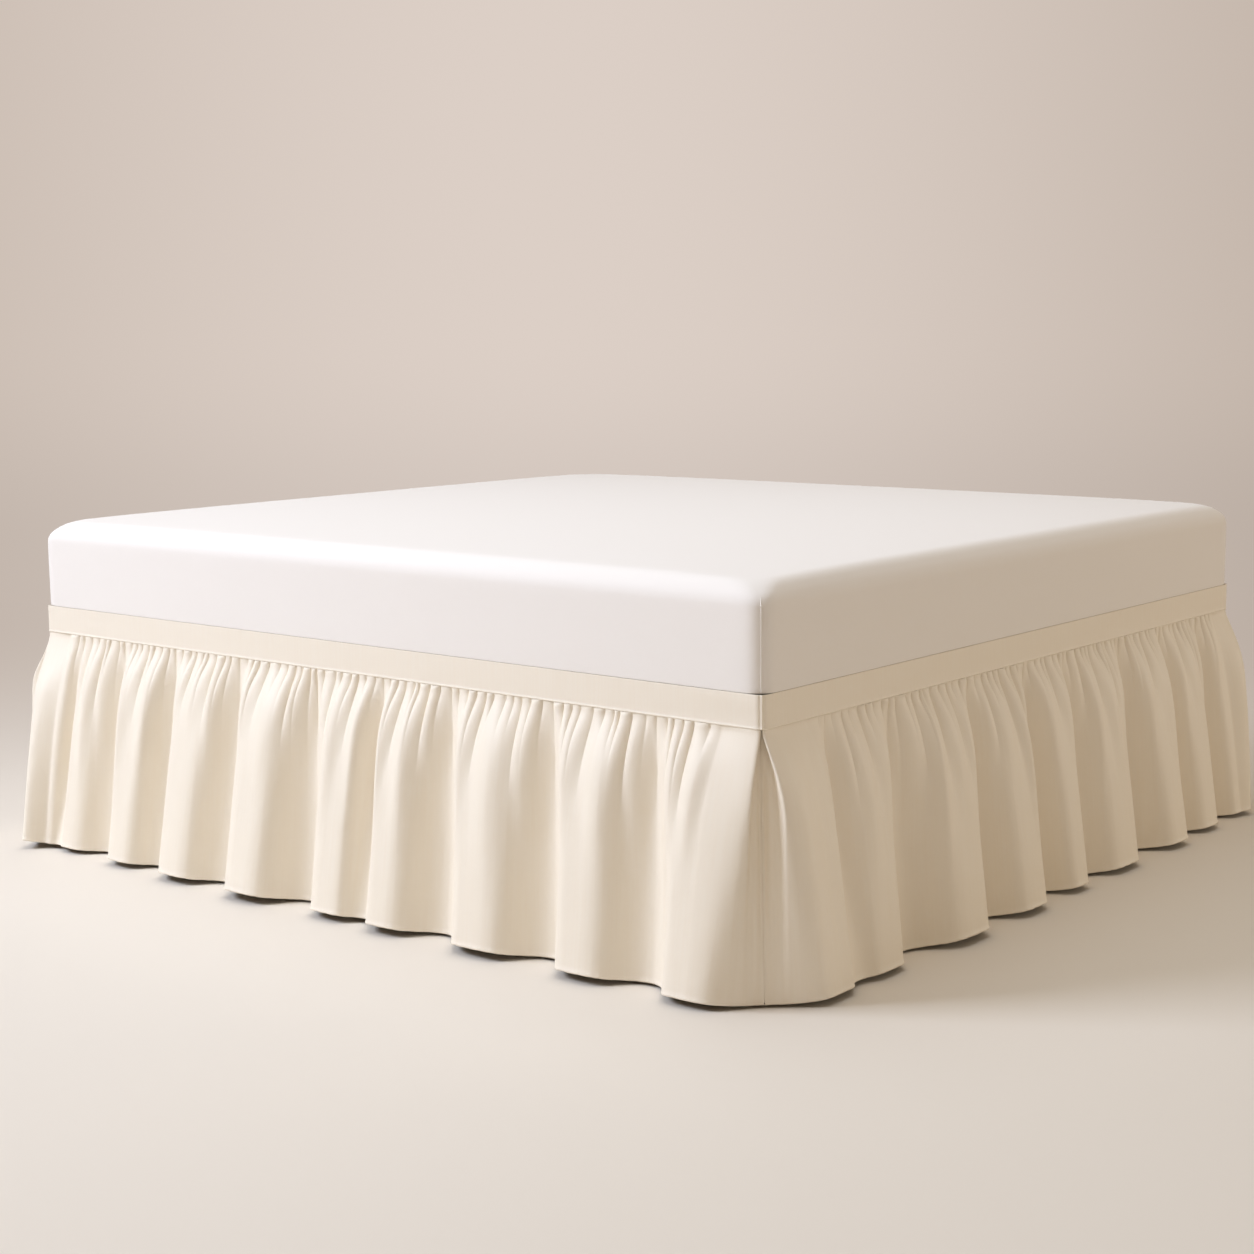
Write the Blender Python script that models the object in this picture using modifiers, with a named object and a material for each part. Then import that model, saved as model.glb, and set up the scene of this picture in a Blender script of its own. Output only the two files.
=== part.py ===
"""A gathered bed skirt on a king bed: band, four ruffle panels, base, legs and mattress.

Metres, +Z up. The origin is on the floor under the middle of the bed. The foot of the bed is
at -Y, its head at +Y. The left and right panels hang along Y, the foot and head panels along X.
"""
import math

import bmesh
import bpy
from mathutils import Matrix, Vector

MM = 0.001

# Driving dimensions of the bed
BED_WIDTH = 1.930
BED_LENGTH = 2.032
BAND_TOP = 0.545
BAND_HEIGHT = 0.061
BAND_THICK = 0.003
BAND_CORNER = 0.018
GAP = 0.0003
BASE_THICK = 0.230
BASE_CORNER = 0.060
LEG_SIDE = 0.060
LEG_INSET = 0.090
MATTRESS_THICK = 0.193
MATTRESS_INSET = 0.008
MATTRESS_CORNER = 0.045
MATTRESS_CROWN = 0.009

# Driving dimensions of the ruffle
CLOTH = 0.002
CLOTH_LENGTH = 0.480
HEADING = 0.008
SEAM_Z = BAND_TOP - BAND_HEIGHT - GAP
SEAM_DEPTH = BAND_THICK / 2
SWING = 0.5
RIDGE_REACH = 0.016
DART_SHARE = 0.5
RIDGE_PEAK = 0.12
COLUMNS_PER_RIDGE = 3
PUFF_SHARE = 0.5
PUFF_LENGTH = 0.14

# How far down the free cloth each row of the panel's mesh lies, from the heading to the hem
ROWS = (0.0, 0.06, 0.18, 0.45, 1.0)

# The main folds of a long side: how far along the side, and how far out at the hem
LONG_FOLDS = (
    ("crest", 0.090, 0.106),
    ("valley", 0.220, 0.046),
    ("crest", 0.360, 0.112),
    ("valley", 0.480, 0.039),
    ("crest", 0.610, 0.116),
    ("valley", 0.740, 0.047),
    ("crest", 0.850, 0.119),
    ("valley", 0.920, 0.086),
    ("crest", 0.990, 0.113),
    ("valley", 1.110, 0.043),
    ("crest", 1.235, 0.128),
    ("valley", 1.370, 0.055),
    ("crest", 1.460, 0.117),
    ("valley", 1.565, 0.056),
    ("crest", 1.650, 0.104),
    ("valley", 1.760, 0.040),
    ("crest", 1.850, 0.091),
    ("valley", 1.895, 0.084),
    ("crest", 1.942, 0.092),
)

# The main folds of a short side
SHORT_FOLDS = (
    ("crest", 0.110, 0.101),
    ("valley", 0.195, 0.084),
    ("crest", 0.275, 0.096),
    ("valley", 0.420, 0.054),
    ("crest", 0.570, 0.112),
    ("valley", 0.690, 0.067),
    ("crest", 0.790, 0.110),
    ("valley", 0.920, 0.055),
    ("crest", 1.000, 0.103),
    ("valley", 1.090, 0.066),
    ("crest", 1.210, 0.104),
    ("valley", 1.350, 0.047),
    ("crest", 1.460, 0.106),
    ("valley", 1.560, 0.066),
    ("crest", 1.640, 0.094),
    ("valley", 1.740, 0.053),
    ("crest", 1.835, 0.088),
)

# Where the gathers pull in deepest at the seam, along a long side
LONG_DARTS = (
    0.090, 0.150, 0.240, 0.290, 0.380, 0.475, 0.556, 0.645, 0.738,
    0.795, 0.860, 0.930, 0.995, 1.065, 1.125, 1.180, 1.252, 1.340,
    1.430, 1.496, 1.600, 1.656, 1.734, 1.810, 1.860, 1.942,
)

# Where the gathers pull in deepest at the seam, along a short side
SHORT_DARTS = (
    0.110, 0.185, 0.245, 0.300, 0.395, 0.485, 0.550, 0.610, 0.690,
    0.748, 0.810, 0.875, 0.955, 1.008, 1.080, 1.122, 1.200, 1.262,
    1.345, 1.448, 1.545, 1.625, 1.688, 1.760, 1.835,
)

# The inverted pleat at a corner, from the folded edge to the seam at the pleat's back.
# Each row is a station of the cloth: how far along the side and how far out it lies,
# in millimetres, at the seam, at a third of the drop and at the hem.
PLEAT = (
    # station        seam            third         hem
    ("shoulder", (45.0, -1.5), (45.0, 66.0), (57.0, 96.0)),
    ("lip", (23.0, -1.5), (19.0, 53.0), (33.0, 73.0)),
    ("outer edge", (10.8, -3.8), (7.0, 43.0), (19.0, 55.0)),
    ("folded edge", (8.8, -6.4), (4.8, 39.0), (14.0, 49.0)),
    ("inner edge", (11.4, -8.6), (6.5, 35.0), (10.5, 44.5)),
    ("return", (19.0, -6.6), (13.0, 27.0), (7.0, 40.0)),
    ("inner turn", (25.5, -6.6), (17.0, 20.0), (3.0, 35.0)),
    ("inner fold", (27.5, -8.6), (16.0, 13.0), (-1.0, 30.0)),
    ("back", (24.0, -10.9), (11.0, 6.0), (-6.0, 24.5)),
)
# How far in from the corner's upright edge the seam at the pleat's back lies, each way
PLEAT_SEAM_IN = (16.0, 5.0, -15.0)
PLEAT_SEAM_FLAT = 0.003
PLEAT_THIRD = 0.34
LONG_PLEAT_OPENING = 0.86
SHORT_PLEAT_OPENING = 1.14

# Colour, roughness and metallic value of each finish
FINISHES = {
    "cream_cotton": ((0.84, 0.76, 0.64), 0.75, 0.0),
    "white_cover": ((0.86, 0.84, 0.81), 0.70, 0.0),
    "ticking": ((0.62, 0.58, 0.52), 0.85, 0.0),
    "beech": ((0.55, 0.38, 0.22), 0.50, 0.0),
}


def finish(name):
    """Return the material of one finish, made when it is first asked for."""
    if name in bpy.data.materials:
        return bpy.data.materials[name]
    colour, roughness, metallic = FINISHES[name]
    material = bpy.data.materials.new(name)
    material.use_nodes = True
    shader = material.node_tree.nodes["Principled BSDF"]
    shader.inputs["Base Color"].default_value = (*colour, 1.0)
    shader.inputs["Roughness"].default_value = roughness
    shader.inputs["Metallic"].default_value = metallic
    return material


def add_object(name, mesh, finish_name, collection):
    """Put a mesh in the scene as one named sub-part."""
    part = bpy.data.objects.new(name, mesh)
    part.data.materials.append(finish(finish_name))
    collection.objects.link(part)
    return part


def add_modifier(part, kind, **settings):
    """Add one modifier and set its values."""
    modifier = part.modifiers.new(kind.title(), kind)
    for key, value in settings.items():
        setattr(modifier, key, value)
    return modifier


def box_mesh(name, size, centre):
    """Return a box with its place in its mesh."""
    mesh = bpy.data.meshes.new(name)
    shape = bmesh.new()
    placed = Matrix.Translation(centre) @ Matrix.Diagonal((*size, 1.0))
    bmesh.ops.create_cube(shape, size=1.0, matrix=placed)
    shape.to_mesh(mesh)
    shape.free()
    return mesh


def weigh_edges(mesh, weight_of):
    """Give every edge a bevel weight worked out from its two ends."""
    weights = mesh.attributes.new("bevel_weight_edge", "FLOAT", "EDGE")
    for edge in mesh.edges:
        ends = [mesh.vertices[index].co for index in edge.vertices]
        weights.data[edge.index].value = weight_of(*ends)


def is_upright(low, high):
    """Tell whether an edge stands upright."""
    return abs(low.z - high.z) > MM and (low - high).xy.length < MM


def make_mattress(collection):
    """A filled block with rounded edges, lower edges drawn in and a slight crown."""
    bottom = BAND_TOP + GAP
    top = bottom + MATTRESS_THICK
    size = (BED_WIDTH - 2 * MATTRESS_INSET, BED_LENGTH - 2 * MATTRESS_INSET, MATTRESS_THICK)
    mesh = box_mesh("mattress", size, (0, 0, (bottom + top) / 2))

    def weight_of(low, high):
        if is_upright(low, high):
            return 0.6
        if low.z > bottom + MM:
            return 1.0
        return 0.3

    weigh_edges(mesh, weight_of)
    part = add_object("mattress", mesh, "white_cover", collection)
    add_modifier(part, "BEVEL", width=MATTRESS_CORNER, segments=5, limit_method="WEIGHT")

    # The crown is the rounded block's top face, inset and lifted in three steps
    rounded = part.evaluated_get(bpy.context.evaluated_depsgraph_get())
    crowned = bpy.data.meshes.new_from_object(rounded)
    part.modifiers.clear()
    part.data = crowned
    shape = bmesh.new()
    shape.from_mesh(crowned)
    for inset, share in ((0.05, 0.45), (0.14, 0.35), (0.30, 0.20)):
        lid = max(shape.faces, key=lambda face: (round(face.calc_center_median().z, 4),
                                                 face.calc_area()))
        bmesh.ops.inset_region(shape, faces=[lid], thickness=inset,
                               depth=MATTRESS_CROWN * share, use_even_offset=True)
    shape.to_mesh(crowned)
    shape.free()
    crowned.shade_smooth()
    return part


def make_base(collection):
    """The foundation under the mattress, with the round corners that clear the pleats."""
    inset = BAND_THICK + GAP
    size = (BED_WIDTH - 2 * inset, BED_LENGTH - 2 * inset, BASE_THICK)
    centre = (0, 0, BAND_TOP - BASE_THICK / 2)
    mesh = box_mesh("bed_base", size, centre)
    weigh_edges(mesh, lambda low, high: 1.0 if is_upright(low, high) else 0.0)
    part = add_object("bed_base", mesh, "ticking", collection)
    add_modifier(part, "BEVEL", width=BASE_CORNER, segments=8, limit_method="WEIGHT")
    return part


def make_legs(collection):
    """Four square legs that carry the base."""
    height = BAND_TOP - BASE_THICK - GAP
    across = BED_WIDTH / 2 - LEG_INSET - LEG_SIDE / 2
    along = BED_LENGTH / 2 - LEG_INSET - LEG_SIDE / 2
    for end, side_y in (("front", -1), ("back", 1)):
        for side, side_x in (("left", -1), ("right", 1)):
            name = f"leg_{end}_{side}"
            centre = (side_x * across, side_y * along, height / 2)
            mesh = box_mesh(name, (LEG_SIDE, LEG_SIDE, height), centre)
            part = add_object(name, mesh, "beech", collection)
            add_modifier(part, "BEVEL", width=3 * MM, segments=1)


def side_place(side):
    """Return the function that puts a side's along and out distances on the floor plan."""
    half_width, half_length = BED_WIDTH / 2, BED_LENGTH / 2
    places = {
        "left": lambda along, out: (-half_width - out, -half_length + along),
        "foot": lambda along, out: (-half_width + along, -half_length - out),
        "right": lambda along, out: (half_width + out, half_length - along),
        "head": lambda along, out: (half_width - along, half_length + out),
    }
    return places[side]


def corner_arc(radius, steps):
    """Return the stations of half a rounded corner, from its middle to the straight side."""
    turn = math.radians(45) / steps
    stations = []
    for step in range(1, steps + 1):
        angle = math.radians(45) - step * turn
        stations.append((radius * (1 - math.sin(angle)), radius * (math.cos(angle) - 1)))
    return stations


def square_end(station):
    """Return the point that ends a run from this station squarely on the corner's diagonal."""
    along, out = station
    middle = (along - out) / 2
    back = GAP / (2 * math.sqrt(2))
    return middle + back, -middle + back


def make_band(side, collection):
    """One flat strip of the band, from the middle of one corner to the middle of the next."""
    length = BED_LENGTH if side in ("left", "right") else BED_WIDTH
    arc = corner_arc(BAND_CORNER, 5)
    start = [square_end(arc[0])] + arc
    stations = start + [(length - along, out) for along, out in reversed(start)]
    place = side_place(side)
    mesh = bpy.data.meshes.new(f"band_{side}")
    shape = bmesh.new()
    low = BAND_TOP - BAND_HEIGHT
    line = [shape.verts.new((*place(along, out), low)) for along, out in stations]
    run = [shape.edges.new(pair) for pair in zip(line, line[1:])]
    raised = bmesh.ops.extrude_edge_only(shape, edges=run)["geom"]
    bmesh.ops.translate(shape, vec=(0, 0, BAND_HEIGHT),
                        verts=[item for item in raised if isinstance(item, bmesh.types.BMVert)])
    face_outward(shape, side)
    shape.to_mesh(mesh)
    shape.free()
    part = add_object(f"band_{side}", mesh, "cream_cotton", collection)
    add_modifier(part, "SOLIDIFY", thickness=BAND_THICK, offset=-1.0, use_even_offset=True)
    return part


def face_outward(shape, side):
    """Turn a side's faces so that they look away from the bed."""
    outward = {"left": (-1, 0, 0), "foot": (0, -1, 0), "right": (1, 0, 0), "head": (0, 1, 0)}
    shape.normal_update()
    facing = sum(face.normal.dot(Vector(outward[side])) * face.calc_area() for face in shape.faces)
    if facing < 0:
        bmesh.ops.reverse_faces(shape, faces=shape.faces)


def spread(down):
    """How much of its reach at the hem the cloth has, at a share of the drop."""
    puff = 1 - math.exp(-down / PUFF_LENGTH)
    full = 1 - math.exp(-1 / PUFF_LENGTH)
    return PUFF_SHARE * puff / full + (1 - PUFF_SHARE) * down


def ridge_strength(down):
    """How much of its height a gather's ridge has, at a share of the drop."""
    ratio = down / RIDGE_PEAK
    return ratio * math.exp(1 - ratio)


def main_fold(folds, along, down):
    """Return where a point of the seam lies, along and out, in the main folds at this drop."""
    for (_, start, near), (_, end, far) in zip(folds, folds[1:]):
        if along <= end:
            break
    width = end - start
    phase = math.pi * (along - start) / width
    out = (near + far) / 2 + (near - far) / 2 * math.cos(phase)
    sway = SWING * down * width / (2 * math.pi) * math.sin(2 * phase)
    return along + sway, out * spread(down)


def gathered_stations(folds, darts, down):
    """Return the stations between the first and the last crest of a side."""
    seam = []
    for start, end in zip(darts, darts[1:]):
        for step in range(COLUMNS_PER_RIDGE):
            share = step / COLUMNS_PER_RIDGE
            seam.append((start + (end - start) * share, 1 - (2 * share - 1) ** 2 - DART_SHARE))
    seam[0] = (darts[0], 0.0)
    seam.append((darts[-1], 0.0))
    stations = []
    for start, ridge in seam:
        along, out = main_fold(folds, start, down)
        out += RIDGE_REACH * ridge * ridge_strength(down)
        stations.append((along, max(out, 0.0) - SEAM_DEPTH))
    return stations


def through_three(seam, third, hem, down):
    """Read a value at this drop from its values at the seam, a third down and the hem."""
    upper = (third - seam) / PLEAT_THIRD
    lower = (hem - third) / (1 - PLEAT_THIRD)
    bend = 2 * upper * lower / (upper + lower) if upper * lower > 0 else 0.0
    if down < PLEAT_THIRD:
        start, end, width, share = seam, third, PLEAT_THIRD, down / PLEAT_THIRD
        leave, arrive = 1.5 * upper - 0.5 * bend, bend
    else:
        width = 1 - PLEAT_THIRD
        start, end, share = third, hem, (down - PLEAT_THIRD) / width
        leave, arrive = bend, 1.5 * lower - 0.5 * bend
    ease = share**2 * (3 - 2 * share)
    return (start + (end - start) * ease + width * leave * share * (1 - share) ** 2
            - width * arrive * share**2 * (1 - share))


def pleat_stations(opening, down):
    """Return a corner pleat's stations at this drop, from its back seam to its shoulder."""
    inward = through_three(*PLEAT_SEAM_IN, down) * MM
    flat = (inward + PLEAT_SEAM_FLAT, -inward + PLEAT_SEAM_FLAT)
    stations = [square_end(flat), flat]
    for _, seam, third, hem in reversed(PLEAT):
        along = through_three(seam[0], third[0], hem[0], down) * MM
        out = through_three(seam[1], third[1] * opening, hem[1], down) * MM
        stations.append((along, out))
    return stations


def panel_stations(side, down):
    """Return every station of a side's panel at this drop, from corner to corner."""
    is_long = side in ("left", "right")
    length = BED_LENGTH if is_long else BED_WIDTH
    folds = LONG_FOLDS if is_long else SHORT_FOLDS
    darts = LONG_DARTS if is_long else SHORT_DARTS
    opening = LONG_PLEAT_OPENING if is_long else SHORT_PLEAT_OPENING
    near = pleat_stations(opening, down)
    far = [(length - along, out) for along, out in reversed(near)]
    return near + gathered_stations(folds, darts, down) + far


def make_ruffle(side, collection):
    """One gathered panel: a grid whose points take the panel's stations, row by row."""
    place = side_place(side)
    top = [Vector(place(*station)) for station in panel_stations(side, 0.0)]
    lines = [[(point.x, point.y, SEAM_Z) for point in top]]
    for down in ROWS:
        dropped = HEADING + down * (CLOTH_LENGTH - HEADING)
        line = []
        for start, station in zip(top, panel_stations(side, down)):
            point = Vector(place(*station))
            moved = (point - start).length
            line.append((point.x, point.y, SEAM_Z - math.sqrt(dropped**2 - moved**2)))
        lines.append(line)

    mesh = bpy.data.meshes.new(f"ruffle_{side}")
    shape = bmesh.new()
    columns, rows = len(top), len(lines)
    grid = bmesh.ops.create_grid(shape, x_segments=columns - 1, y_segments=rows - 1, size=1.0)
    ordered = sorted(grid["verts"], key=lambda vert: (-round(vert.co.y, 5), vert.co.x))
    places = [point for line in lines for point in line]
    for vert, point in zip(ordered, places):
        vert.co = point
    face_outward(shape, side)
    shape.to_mesh(mesh)
    shape.free()
    part = add_object(f"ruffle_{side}", mesh, "cream_cotton", collection)
    add_modifier(part, "SOLIDIFY", thickness=CLOTH, offset=0.0)
    part.data.shade_smooth()
    return part


def main():
    """Clear the scene and build the bed and its skirt."""
    for part in list(bpy.data.objects):
        bpy.data.objects.remove(part, do_unlink=True)
    collection = bpy.data.collections.new("bed_skirt_on_bed")
    bpy.context.scene.collection.children.link(collection)
    make_mattress(collection)
    make_base(collection)
    make_legs(collection)
    for side in ("left", "foot", "right", "head"):
        make_band(side, collection)
        make_ruffle(side, collection)


main()
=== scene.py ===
# %% [markdown]
# # A gathered bed skirt on its bed
#
# A bed skirt hides the base of a bed. This one has a flat band of cream cotton sateen round the
# base, and a long gathered ruffle sewn under the band that falls to the floor. Each corner has an
# inverted pleat, so that the cloth can turn the corner without a bulge. A plain white mattress
# lies on top.
#
# The solids of the bed are loaded first. They give every size and place, and each soft piece is a
# finer version of one of them.

# %% Load the solids of the bed
import math

import bpy
import numpy as np
from mathutils import Matrix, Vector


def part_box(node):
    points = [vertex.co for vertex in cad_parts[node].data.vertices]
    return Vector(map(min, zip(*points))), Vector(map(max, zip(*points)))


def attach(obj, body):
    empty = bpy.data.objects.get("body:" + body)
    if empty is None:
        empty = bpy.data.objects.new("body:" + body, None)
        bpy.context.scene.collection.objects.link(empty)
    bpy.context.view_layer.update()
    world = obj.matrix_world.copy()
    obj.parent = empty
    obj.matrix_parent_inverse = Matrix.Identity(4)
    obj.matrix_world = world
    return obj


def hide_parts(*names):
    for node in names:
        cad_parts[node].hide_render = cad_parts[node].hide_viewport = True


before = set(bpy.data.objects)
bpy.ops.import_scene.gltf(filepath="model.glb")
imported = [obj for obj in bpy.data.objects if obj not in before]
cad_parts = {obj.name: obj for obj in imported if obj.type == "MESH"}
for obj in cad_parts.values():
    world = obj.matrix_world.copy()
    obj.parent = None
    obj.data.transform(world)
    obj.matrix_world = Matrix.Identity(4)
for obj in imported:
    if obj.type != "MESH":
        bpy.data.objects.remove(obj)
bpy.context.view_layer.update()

MM = 0.001
MATTRESS_LOW, MATTRESS_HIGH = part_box("mattress")
BASE_LOW, BASE_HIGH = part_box("bed_base")
BAND_LOW, BAND_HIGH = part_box("band_left")
HALF_WIDTH = -BAND_LOW.x
HALF_LENGTH = -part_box("band_foot")[0].y
print("bed", round(2 * HALF_WIDTH, 3), "m wide and", round(2 * HALF_LENGTH, 3), "m long")
print("band from", round(BAND_LOW.z, 3), "to", round(BAND_HIGH.z, 3), "m above the floor")

# %% [markdown]
# ## Helpers
#
# Every modelling step works on what is selected, so one helper clears the selection and makes an
# object active, and another selects the edges that pass a test. Colours are written as sRGB hex
# values, as on a paint card, and one function turns them into the linear values that a shader
# needs. One more adds a shader node with its settings and its links, and the last starts a
# material and sets the inputs of its shader that stay constant.


# %% Selection helpers
def take(piece):
    """Select one object alone and make it active."""
    bpy.ops.object.select_all(action="DESELECT")
    piece.select_set(True)
    bpy.context.view_layer.objects.active = piece
    return piece


def select_edges(piece, test):
    """Select the edges whose two ends pass the test, and go into edit mode."""
    take(piece)
    bpy.ops.object.mode_set(mode="EDIT")
    bpy.ops.mesh.select_mode(type="EDGE")
    bpy.ops.mesh.select_all(action="DESELECT")
    bpy.ops.object.mode_set(mode="OBJECT")
    vertices = piece.data.vertices
    for edge in piece.data.edges:
        edge.select = test(vertices[edge.vertices[0]].co, vertices[edge.vertices[1]].co)
    bpy.ops.object.mode_set(mode="EDIT")


def apply_modifier(piece, kind, **settings):
    """Add one modifier with its settings and apply it."""
    take(piece)
    modifier = piece.modifiers.new(kind.title(), kind)
    for name, value in settings.items():
        setattr(modifier, name, value)
    bpy.ops.object.modifier_apply(modifier=modifier.name)


# %% Colour and node helpers
def linear(code):
    """Turn an sRGB hex colour into linear red, green, blue and alpha."""
    parts = [int(code[place:place + 2], 16) / 255 for place in (1, 3, 5)]
    return [p / 12.92 if p <= 0.04045 else ((p + 0.055) / 1.055) ** 2.4 for p in parts] + [1.0]


def add_node(tree, kind, settings=None, values=None, links=None):
    """Add a shader node, set its properties and inputs, and link (node, output) pairs to it."""
    node = tree.nodes.new("ShaderNode" + kind)
    for name, value in (settings or {}).items():
        setattr(node, name, value)
    for name, value in (values or {}).items():
        node.inputs[name].default_value = value
    for name, (source, output) in (links or {}).items():
        tree.links.new(source.outputs[output], node.inputs[name])
    return node


def new_material(name, values):
    """Return a new material, its node tree and its Principled shader, with these inputs set."""
    material = bpy.data.materials.new(name)
    material.use_nodes = True
    shader = material.node_tree.nodes["Principled BSDF"]
    for socket, value in values.items():
        shader.inputs[socket].default_value = value
    return material, material.node_tree, shader


print("a white cover is", [round(part, 3) for part in linear("#F4F1EE")[:3]])

# %% [markdown]
# ## The camera
#
# The bed is seen from low down, near its front left corner. The place, the turn and the focal
# length were worked out from the straight edges of the band and the mattress. The focal length in
# pixels over the picture's side, times the sensor's 36 mm, gives the lens.

# %% Place the camera
PICTURE_SIDE = 1254
FOCAL_PIXELS = 2103.5
SENSOR = 36.0
CAMERA_PLACE = (-3.847, -3.072, 1.171)
CAMERA_TURN = math.radians(-50.767)
CAMERA_DIP = math.radians(8.141)
CAMERA_ROLL = math.radians(-0.49)

camera_data = bpy.data.cameras.new("corner_view")
camera_data.sensor_width = SENSOR
camera_data.lens = FOCAL_PIXELS * SENSOR / PICTURE_SIDE
camera = bpy.data.objects.new("corner_view", camera_data)
bpy.context.scene.collection.objects.link(camera)
camera.location = CAMERA_PLACE
looking = Matrix.Rotation(CAMERA_TURN, 3, "Z") @ Matrix.Rotation(math.radians(90) - CAMERA_DIP, 3, "X")
camera.rotation_euler = (looking @ Matrix.Rotation(CAMERA_ROLL, 3, "Z")).to_euler()
bpy.context.scene.camera = camera
print("lens", round(camera_data.lens, 2), "mm")

# %% [markdown]
# ## The floor and the studio's backdrop
#
# A studio's floor runs up into its backdrop with no line between them. Here the floor is a large
# plane that is plain paint round the bed and right under the camera. Further out it fades into a
# glow in the backdrop's tones, which the world shows behind it. These tones are painted light and
# shade: the backdrop is brightest in one direction and darker to the sides. Both take the tone
# from the direction in which a point lies, so no line shows. The glow has painted shade where the
# cove turns up, so the backdrop is a little darker there, and only the camera sees the backdrop: a
# plain soft dome takes its place as a light.

# %% Colours of the stage
FLOOR_PAINT = "#E8E1D6"
# The backdrop's tones are painted light and shade: lighter in the middle, darker to the sides, and
# COVE_SHADE is painted shade where the cove turns up.
BACKDROP_MIDDLE = "#DCCFC6"
BACKDROP_SIDE = "#B5A699"
BACKDROP_TURN = math.radians(41.5)
BACKDROP_FALL = 16.0
COVE_SHADE = 0.90
COVE_FROM = 9.0
DOME_TOP = "#FFEBD2"
DOME_LOW = "#F3D7B6"
DOME_RISE = 0.9
DOME_STRENGTH = 0.356
FADE_CENTRE = (-1.0, -0.8, 0.0)
FADE_FROM, FADE_TO = 1.9, 6.0
CLEAR_FROM, CLEAR_TO = 0.8, 2.4
FLOOR_SIDE = 400.0


def backdrop_painted_light(tree, coordinates):
    """Return a node with the backdrop's painted light and shade, brightest in one direction."""
    flat = add_node(tree, "VectorMath", {"operation": "MULTIPLY"},
                    {1: (1.0, 1.0, 0.0)}, {0: coordinates})
    way = add_node(tree, "VectorMath", {"operation": "NORMALIZE"}, None, {0: (flat, 0)})
    facing = (math.cos(BACKDROP_TURN), math.sin(BACKDROP_TURN), 0.0)
    share = add_node(tree, "VectorMath", {"operation": "DOT_PRODUCT"},
                     {1: facing}, {0: (way, 0)})
    ahead = add_node(tree, "Math", {"operation": "MAXIMUM"}, {1: 0.0}, {0: (share, "Value")})
    eased = add_node(tree, "Math", {"operation": "POWER"}, {1: BACKDROP_FALL}, {0: (ahead, 0)})
    return add_node(tree, "Mix", {"data_type": "RGBA"},
                    {6: linear(BACKDROP_SIDE), 7: linear(BACKDROP_MIDDLE)}, {0: (eased, 0)})


# %% Build the world
world = bpy.data.worlds.new("studio")
bpy.context.scene.world = world
world.use_nodes = True
tree = world.node_tree
background = tree.nodes["Background"]
toward = add_node(tree, "TexCoord")
# The camera sees the backdrop's painted light and shade.
colour = backdrop_painted_light(tree, (toward, "Generated"))
tree.links.new(colour.outputs[2], background.inputs["Color"])
height = add_node(tree, "SeparateXYZ", None, None, {0: (toward, "Generated")})
rise = add_node(tree, "MapRange", None, {"From Max": DOME_RISE}, {"Value": (height, "Z")})
dome = add_node(tree, "Mix", {"data_type": "RGBA"},
                {6: linear(DOME_LOW), 7: linear(DOME_TOP)}, {0: (rise, "Result")})
lighting = add_node(tree, "Background", None, {"Strength": DOME_STRENGTH}, {"Color": (dome, 2)})
ray = add_node(tree, "LightPath")
seen = add_node(tree, "MixShader", None, None,
                {0: (ray, "Is Camera Ray"), 1: (lighting, 0), 2: (background, 0)})
tree.links.new(seen.outputs[0], tree.nodes["World Output"].inputs["Surface"])
bpy.context.scene.view_settings.view_transform = "Standard"
print("dome strength", DOME_STRENGTH)

# %% Build the floor
bpy.ops.mesh.primitive_plane_add(size=FLOOR_SIDE, location=(0, 0, 0))
floor = bpy.context.active_object
floor.name = "studio_floor"
material, tree, shader = new_material("studio_floor_paint_and_glow", {
    "Base Color": linear(FLOOR_PAINT), "Roughness": 0.6, "Specular IOR Level": 0.2})
place = add_node(tree, "TexCoord")
away = add_node(tree, "VectorMath", {"operation": "SUBTRACT"}, {1: FADE_CENTRE}, {0: (place, "Object")})
distance = add_node(tree, "VectorMath", {"operation": "LENGTH"}, None, {0: (away, 0)})
reached = add_node(tree, "MapRange", None, {"From Min": FADE_FROM, "From Max": FADE_TO},
                   {"Value": (distance, "Value")})
left_over = add_node(tree, "Math", {"operation": "SUBTRACT"}, {0: 2.0}, {1: (reached, "Result")})
eased = add_node(tree, "Math", {"operation": "MULTIPLY"}, None,
                 {0: (reached, "Result"), 1: (left_over, 0)})
from_viewer = add_node(tree, "VectorMath", {"operation": "SUBTRACT"},
                       {1: (CAMERA_PLACE[0], CAMERA_PLACE[1], 0.0)}, {0: (place, "Object")})
step_off = add_node(tree, "VectorMath", {"operation": "LENGTH"}, None, {0: (from_viewer, 0)})
clear = add_node(tree, "MapRange", {"interpolation_type": "SMOOTHSTEP"},
                 {"From Min": CLEAR_FROM, "From Max": CLEAR_TO}, {"Value": (step_off, "Value")})
fade = add_node(tree, "Math", {"operation": "MULTIPLY"}, None, {0: (eased, 0), 1: (clear, "Result")})
# The floor's far part glows with the backdrop's painted light and shade.
colour = backdrop_painted_light(tree, (from_viewer, 0))
# Painted shade: the glow is darker where the cove turns up, and full further out.
nearness = add_node(tree, "Math", {"operation": "DIVIDE"}, {0: COVE_FROM}, {1: (distance, "Value")})
cove = add_node(tree, "MapRange", {"interpolation_type": "SMOOTHSTEP"},
                {"To Min": 1.0, "To Max": COVE_SHADE}, {"Value": (nearness, 0)})
glow = add_node(tree, "Emission", None, None, {"Color": (colour, 2), "Strength": (cove, "Result")})
joined = add_node(tree, "MixShader", None, None, {0: (fade, 0), 1: (shader, 0), 2: (glow, 0)})
tree.links.new(joined.outputs[0], tree.nodes["Material Output"].inputs["Surface"])
floor.data.materials.append(material)
print("floor fades from", FADE_FROM, "to", FADE_TO, "m")

# %% [markdown]
# ## The lights
#
# The long side of the bed is bright and the foot side lies in shade, so the main light is a large
# soft panel far off to the left, behind the bed's middle. It lights the far side of every fold and
# leaves the near side in shade. A weaker panel above brightens the mattress and the floor, a low
# warm one off to the right shows the folds of the foot side, and the warm dome fills the rest.


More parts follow.
